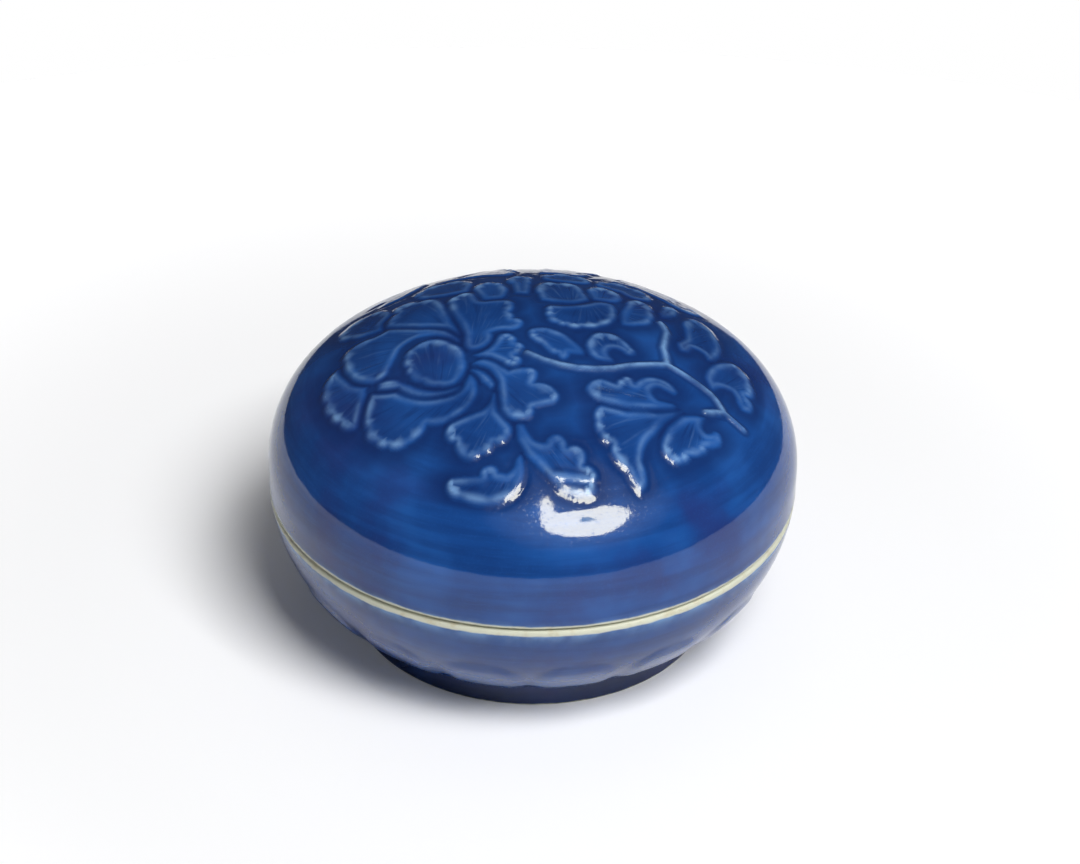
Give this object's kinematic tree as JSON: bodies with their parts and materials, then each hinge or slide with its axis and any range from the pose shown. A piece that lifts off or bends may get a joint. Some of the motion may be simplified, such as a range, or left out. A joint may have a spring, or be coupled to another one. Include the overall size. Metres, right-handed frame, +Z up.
{
  "type": "seal paste box",
  "caption": "Round glazed porcelain box with a domed lift-off lid carved with a flower scroll, an upright inner gallery, a ring foot and a pad of red seal paste inside.",
  "frame": {"origin": "centre of the foot ring on the standing plane", "axes": "+Z up along the box's axis, towards the lid; +X to the right and -Y towards the viewer of the picture"},
  "size_m": [0.086, 0.086, 0.0546],
  "materials": {
    "blue_glaze": "glossy cobalt blue glaze, paler where it runs thin over the relief",
    "dark_glaze": "thick, nearly black blue glaze with a bare standing edge",
    "pale_porcelain": "bare pale porcelain, ground smooth",
    "cinnabar_paste": "oily vermilion paste, dabbed on top"
  },
  "bodies": {
    "bowl_body": {"bowl": "blue_glaze", "bowl_petals": "blue_glaze", "foot_ring": "dark_glaze", "gallery_ring": "pale_porcelain", "seal_paste": "cinnabar_paste"},
    "lid_body": {"lid": "blue_glaze", "peony_boss": "blue_glaze", "peony_petals": "blue_glaze", "peony_back": "blue_glaze", "vine_stem": "blue_glaze", "front_leaves": "blue_glaze", "side_leaves": "blue_glaze", "back_leaves": "blue_glaze"}
  },
  "joints": [
    {"name": "lid_lift", "type": "slide", "parent": "bowl_body", "child": "lid_body", "axis": [0, 0, 1], "range_m": [0, 0.04]}
  ]
}
